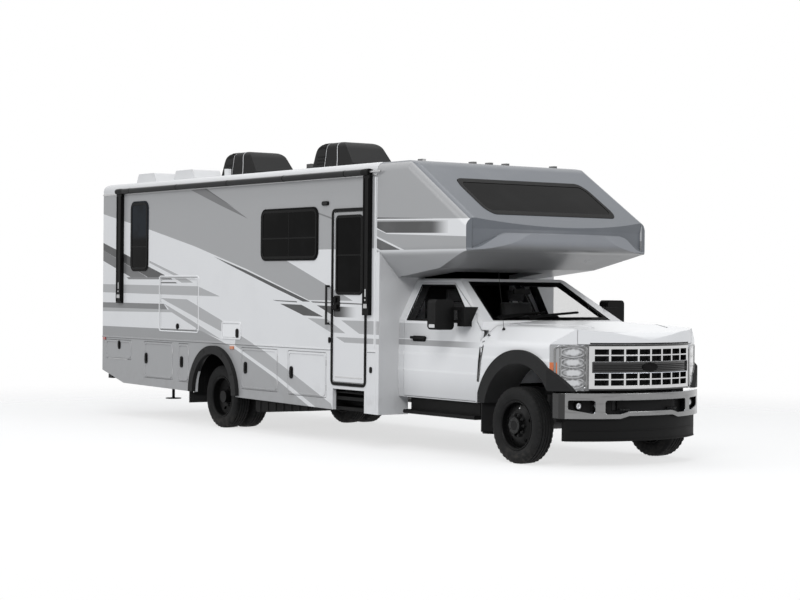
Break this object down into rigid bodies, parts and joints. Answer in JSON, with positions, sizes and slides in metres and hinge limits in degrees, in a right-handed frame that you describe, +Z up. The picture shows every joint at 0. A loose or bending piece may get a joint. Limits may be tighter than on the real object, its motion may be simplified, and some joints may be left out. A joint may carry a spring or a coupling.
{
  "type": "class c motorhome",
  "caption": "Class C motorhome on a cutaway truck chassis: moulded cap over the cab, side lockers, entry door, twin rear wheels, stowed awning, opening doors and hood",
  "frame": {"origin": "on the ground under the middle of the length and width", "axes": "+X forward, +Y to the left (driver's) side, +Z up"},
  "size_m": [10.245, 2.724, 3.6849],
  "materials": {
    "body_white": "gloss fibreglass skin",
    "body_grey": "gloss silver grey",
    "roof_white": "satin",
    "cab_white": "gloss",
    "dark_glass": "tinted",
    "black_plastic": "satin",
    "black_steel": "satin",
    "chrome": "polished",
    "tyre": "moulded",
    "cast_iron": "rough",
    "brushed_steel": "dull",
    "aluminium": "satin",
    "plywood": "sealed",
    "grey_plastic": "satin",
    "seat_cloth": "woven",
    "lamp_lens": "clear"
  },
  "bodies": {
    "vehicle": {"air_dam": "black_plastic", "awning": "black_plastic", "baggage_boxes_left": "aluminium", "baggage_boxes_right": "aluminium", "body_lamps": "lamp_lens", "cab_seats": "seat_cloth", "cab_shell": "cab_white", "chassis_frame": "black_steel", "dashboard": "grey_plastic", "engine_and_exhaust": "cast_iron", "entry_steps": "black_plastic", "fixed_windows": "dark_glass", "front_axle": "cast_iron", "front_bumper": "chrome", "front_cap": "body_grey", "front_fenders": "cab_white", "fuel_tank": "brushed_steel", "grille": "chrome", "head_lamps": "chrome", "house_floor": "plywood", "levelling_jacks": "black_steel", "rear_axle": "black_steel", "rear_bumper": "black_plastic", "roof": "roof_white", "roof_air_conditioners": "black_plastic", "roof_vents": "roof_white", "running_boards": "black_plastic", "skirt_left": "body_white", "skirt_right": "body_white", "wall_left": "body_white", "wall_rear": "body_white", "wall_right": "body_white", "wheel_flares": "black_plastic"},
    "knuckle_right": {"knuckle_right": "cast_iron"},
    "front_wheel_right": {"tyre_front_right": "tyre", "rim_front_right": "black_steel"},
    "rear_wheels_right": {"tyres_rear_right": "tyre", "rims_rear_right": "black_steel"},
    "cab_door_right": {"cab_door_right": "cab_white", "cab_door_glass_right": "dark_glass", "door_mirror_right": "black_plastic"},
    "knuckle_left": {"knuckle_left": "cast_iron"},
    "front_wheel_left": {"tyre_front_left": "tyre", "rim_front_left": "black_steel"},
    "rear_wheels_left": {"tyres_rear_left": "tyre", "rims_rear_left": "black_steel"},
    "cab_door_left": {"cab_door_left": "cab_white", "cab_door_glass_left": "dark_glass", "door_mirror_left": "black_plastic"},
    "hood": {"hood": "cab_white"},
    "entry_door": {"entry_door": "body_white", "entry_door_glass": "dark_glass"},
    "front_locker_door_left": {"front_locker_door_left": "body_white"},
    "front_locker_door_right": {"front_locker_door_right": "body_white"},
    "kitchen_locker_door_right": {"kitchen_locker_door_right": "body_white"},
    "long_locker_door_left": {"long_locker_door_left": "body_white"},
    "long_locker_door_right": {"long_locker_door_right": "body_white"},
    "middle_locker_door_right": {"middle_locker_door_right": "body_white"},
    "narrow_locker_door_right": {"narrow_locker_door_right": "body_white"},
    "rear_locker_door_right": {"rear_locker_door_right": "body_white"}
  },
  "joints": [
    {"name": "steer_right", "type": "hinge", "parent": "vehicle", "child": "knuckle_right", "pos_m": [4.1475, -0.76, 0.405], "axis": [0, 0, 1], "range_deg": [-35, 35]},
    {"name": "roll_front_right", "type": "hinge", "parent": "knuckle_right", "child": "front_wheel_right", "pos_m": [4.1475, -0.95, 0.405], "axis": [0, 1, 0], "continuous": true},
    {"name": "roll_rear_right", "type": "hinge", "parent": "vehicle", "child": "rear_wheels_right", "pos_m": [-1.8025, -0.94, 0.405], "axis": [0, 1, 0], "continuous": true},
    {"name": "cab_door_right_swing", "type": "hinge", "parent": "vehicle", "child": "cab_door_right", "pos_m": [3.4475, -1.02, 1.2], "axis": [0, 0, 1], "range_deg": [0, 65]},
    {"name": "steer_left", "type": "hinge", "parent": "vehicle", "child": "knuckle_left", "pos_m": [4.1475, 0.76, 0.405], "axis": [0, 0, 1], "range_deg": [-35, 35]},
    {"name": "roll_front_left", "type": "hinge", "parent": "knuckle_left", "child": "front_wheel_left", "pos_m": [4.1475, 0.95, 0.405], "axis": [0, 1, 0], "continuous": true},
    {"name": "roll_rear_left", "type": "hinge", "parent": "vehicle", "child": "rear_wheels_left", "pos_m": [-1.8025, 0.94, 0.405], "axis": [0, 1, 0], "continuous": true},
    {"name": "cab_door_left_swing", "type": "hinge", "parent": "vehicle", "child": "cab_door_left", "pos_m": [3.4475, 1.02, 1.2], "axis": [0, 0, -1], "range_deg": [0, 65]},
    {"name": "hood_lift", "type": "hinge", "parent": "vehicle", "child": "hood", "pos_m": [3.5225, 0, 1.492], "axis": [0, -1, 0], "range_deg": [0, 50]},
    {"name": "entry_door_swing", "type": "hinge", "parent": "vehicle", "child": "entry_door", "pos_m": [1.6575, -1.284, 1.7], "axis": [0, 0, 1], "range_deg": [0, 90]},
    {"name": "rear_locker_right_swing", "type": "hinge", "parent": "vehicle", "child": "rear_locker_door_right", "pos_m": [-4.5525, -1.284, 0.8], "axis": [1, 0, 0], "range_deg": [0, 90]},
    {"name": "long_locker_right_swing", "type": "hinge", "parent": "vehicle", "child": "long_locker_door_right", "pos_m": [-2.9425, -1.284, 0.822], "axis": [0, 0, 1], "range_deg": [0, 90]},
    {"name": "long_locker_left_swing", "type": "hinge", "parent": "vehicle", "child": "long_locker_door_left", "pos_m": [-2.9425, 1.284, 0.822], "axis": [0, 0, -1], "range_deg": [0, 90]},
    {"name": "narrow_locker_right_swing", "type": "hinge", "parent": "vehicle", "child": "narrow_locker_door_right", "pos_m": [-2.4925, -1.284, 0.816], "axis": [0, 0, 1], "range_deg": [0, 90]},
    {"name": "middle_locker_right_swing", "type": "hinge", "parent": "vehicle", "child": "middle_locker_door_right", "pos_m": [-0.2425, -1.284, 0.804], "axis": [0, 0, 1], "range_deg": [0, 90]},
    {"name": "front_locker_right_swing", "type": "hinge", "parent": "vehicle", "child": "front_locker_door_right", "pos_m": [0.8575, -1.284, 0.7945], "axis": [0, 0, 1], "range_deg": [0, 90]},
    {"name": "front_locker_left_swing", "type": "hinge", "parent": "vehicle", "child": "front_locker_door_left", "pos_m": [0.8575, 1.284, 0.7945], "axis": [0, 0, -1], "range_deg": [0, 90]},
    {"name": "kitchen_locker_right_swing", "type": "hinge", "parent": "vehicle", "child": "kitchen_locker_door_right", "pos_m": [-2.7875, -1.284, 1.957], "axis": [-1, 0, 0], "range_deg": [0, 90]}
  ],
  "couplings": [
    {"joint": "steer_left", "follows": "steer_right", "ratio": 1}
  ]
}
